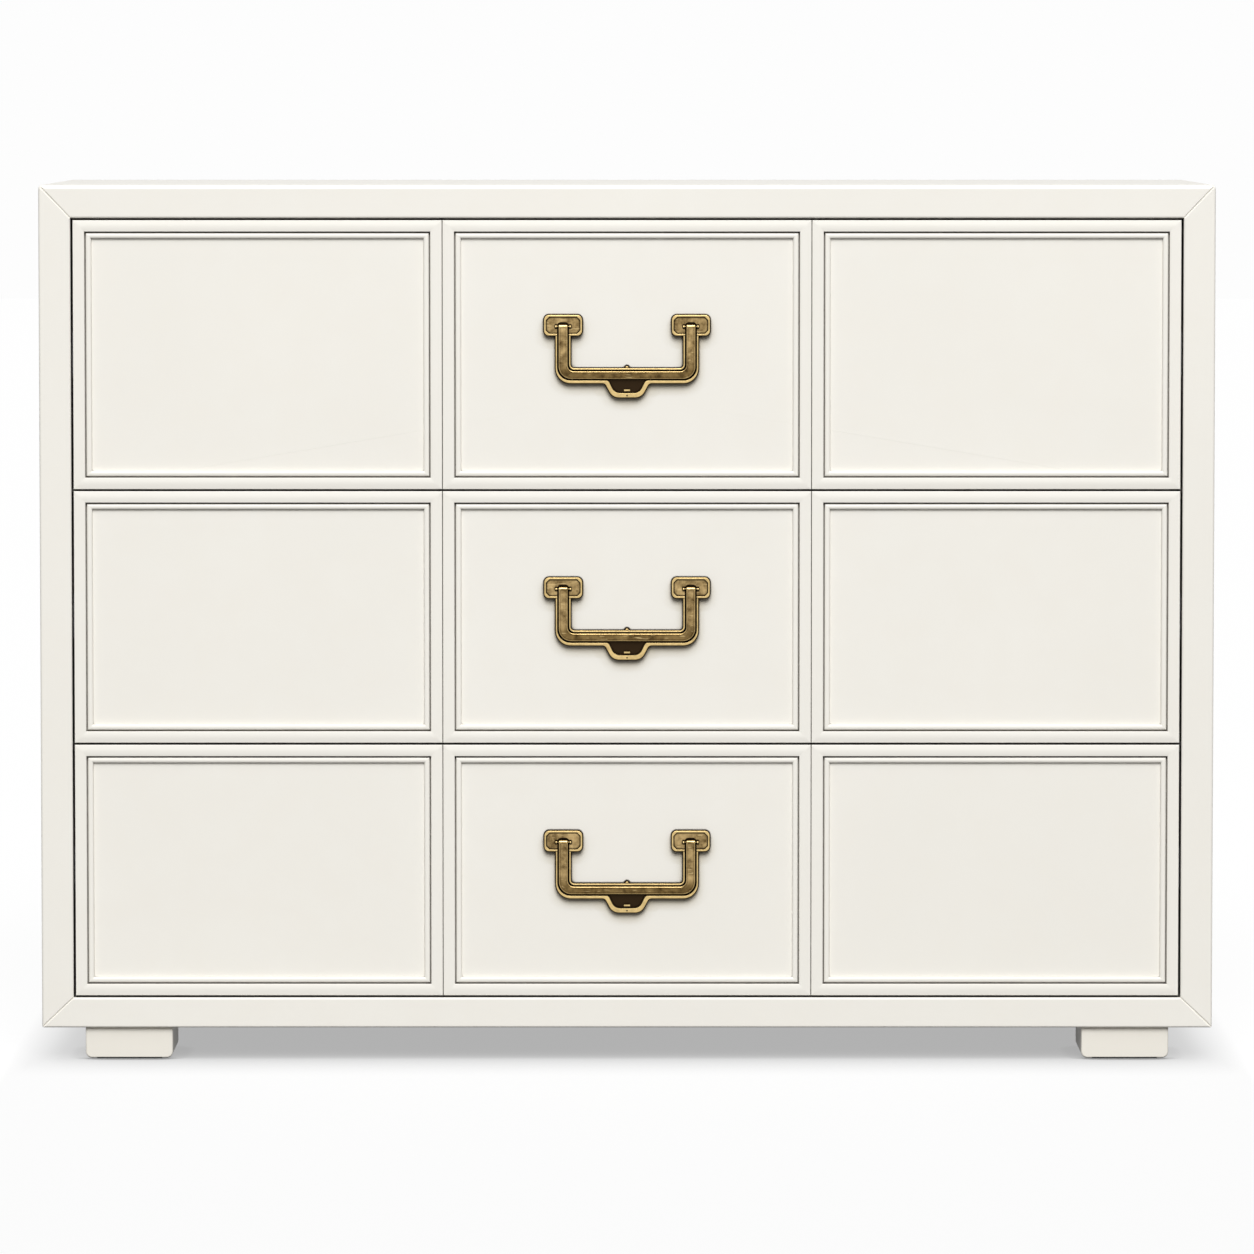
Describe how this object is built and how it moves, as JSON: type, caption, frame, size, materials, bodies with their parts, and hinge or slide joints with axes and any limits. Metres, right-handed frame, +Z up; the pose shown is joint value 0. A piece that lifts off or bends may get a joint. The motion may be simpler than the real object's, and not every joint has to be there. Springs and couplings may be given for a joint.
{
  "type": "campaign chest of drawers",
  "caption": "Off-white campaign chest with a mitred case on block feet, panelled full-width drawers on telescopic slides and swinging brass bail pulls.",
  "frame": {"origin": "on the floor under the middle of the case", "axes": "+X to the right seen from the front, +Y to the back, +Z up; the drawers open towards -Y"},
  "size_m": [1.219, 0.4572, 0.91],
  "materials": {
    "lacquered_wood": "smooth satin off-white lacquer on close-grained board",
    "box_wood": "clear-sealed pale solid maple",
    "box_plywood": "clear-sealed birch plywood",
    "back_plywood": "thin off-white wash on plywood",
    "antique_brass": "cast brass with dark antique patina and rubbed bright edges",
    "slide_steel": "bright zinc-plated rolled steel",
    "zinc_screws": "zinc-plated steel",
    "foot_pad": "dark matt nylon strip"
  },
  "bodies": {
    "case": {"case_top": "lacquered_wood", "case_bottom": "lacquered_wood", "case_left_side": "lacquered_wood", "case_right_side": "lacquered_wood", "case_back": "back_plywood", "case_back_screws": "zinc_screws", "corner_splines": "box_wood", "upper_front_rail": "lacquered_wood", "lower_front_rail": "lacquered_wood", "front_left_foot": "lacquered_wood", "front_right_foot": "lacquered_wood", "back_left_foot": "lacquered_wood", "back_right_foot": "lacquered_wood", "foot_pads": "foot_pad", "foot_screws": "zinc_screws", "left_slide_case_members": "slide_steel", "right_slide_case_members": "slide_steel", "slide_case_screws": "zinc_screws"},
    "top_drawer": {"top_drawer_front": "lacquered_wood", "top_drawer_mouldings": "lacquered_wood", "top_drawer_left_side": "box_wood", "top_drawer_right_side": "box_wood", "top_drawer_inner_front": "box_wood", "top_drawer_back": "box_wood", "top_drawer_bottom": "box_plywood", "top_drawer_screws": "zinc_screws", "top_slide_drawer_members": "slide_steel", "top_pull_backplate": "antique_brass", "top_pull_pins": "antique_brass", "top_pull_fixings": "antique_brass"},
    "top_slide": {"top_slide_middle_members": "slide_steel"},
    "top_bail": {"top_pull_bail": "antique_brass"},
    "middle_drawer": {"middle_drawer_front": "lacquered_wood", "middle_drawer_mouldings": "lacquered_wood", "middle_drawer_left_side": "box_wood", "middle_drawer_right_side": "box_wood", "middle_drawer_inner_front": "box_wood", "middle_drawer_back": "box_wood", "middle_drawer_bottom": "box_plywood", "middle_drawer_screws": "zinc_screws", "middle_slide_drawer_members": "slide_steel", "middle_pull_backplate": "antique_brass", "middle_pull_pins": "antique_brass", "middle_pull_fixings": "antique_brass"},
    "middle_slide": {"middle_slide_middle_members": "slide_steel"},
    "middle_bail": {"middle_pull_bail": "antique_brass"},
    "bottom_drawer": {"bottom_drawer_front": "lacquered_wood", "bottom_drawer_mouldings": "lacquered_wood", "bottom_drawer_left_side": "box_wood", "bottom_drawer_right_side": "box_wood", "bottom_drawer_inner_front": "box_wood", "bottom_drawer_back": "box_wood", "bottom_drawer_bottom": "box_plywood", "bottom_drawer_screws": "zinc_screws", "bottom_slide_drawer_members": "slide_steel", "bottom_pull_backplate": "antique_brass", "bottom_pull_pins": "antique_brass", "bottom_pull_fixings": "antique_brass"},
    "bottom_slide": {"bottom_slide_middle_members": "slide_steel"},
    "bottom_bail": {"bottom_pull_bail": "antique_brass"}
  },
  "joints": [
    {"name": "top_drawer_slide", "type": "slide", "parent": "case", "child": "top_drawer", "axis": [0, -1, 0], "range_m": [0, 0.35]},
    {"name": "top_slide_extension", "type": "slide", "parent": "case", "child": "top_slide", "axis": [0, -1, 0], "range_m": [0, 0.175]},
    {"name": "top_bail_swing", "type": "hinge", "parent": "top_drawer", "child": "top_bail", "pos_m": [0, -0.2262, 0.7633], "axis": [-1, 0, 0], "range_deg": [0, 95]},
    {"name": "middle_drawer_slide", "type": "slide", "parent": "case", "child": "middle_drawer", "axis": [0, -1, 0], "range_m": [0, 0.35]},
    {"name": "middle_slide_extension", "type": "slide", "parent": "case", "child": "middle_slide", "axis": [0, -1, 0], "range_m": [0, 0.175]},
    {"name": "middle_bail_swing", "type": "hinge", "parent": "middle_drawer", "child": "middle_bail", "pos_m": [0, -0.2262, 0.4908], "axis": [-1, 0, 0], "range_deg": [0, 95]},
    {"name": "bottom_drawer_slide", "type": "slide", "parent": "case", "child": "bottom_drawer", "axis": [0, -1, 0], "range_m": [0, 0.35]},
    {"name": "bottom_slide_extension", "type": "slide", "parent": "case", "child": "bottom_slide", "axis": [0, -1, 0], "range_m": [0, 0.175]},
    {"name": "bottom_bail_swing", "type": "hinge", "parent": "bottom_drawer", "child": "bottom_bail", "pos_m": [0, -0.2262, 0.2268], "axis": [-1, 0, 0], "range_deg": [0, 95]}
  ],
  "couplings": [
    {"joint": "top_slide_extension", "follows": "top_drawer_slide", "ratio": 0.5},
    {"joint": "middle_slide_extension", "follows": "middle_drawer_slide", "ratio": 0.5},
    {"joint": "bottom_slide_extension", "follows": "bottom_drawer_slide", "ratio": 0.5}
  ]
}
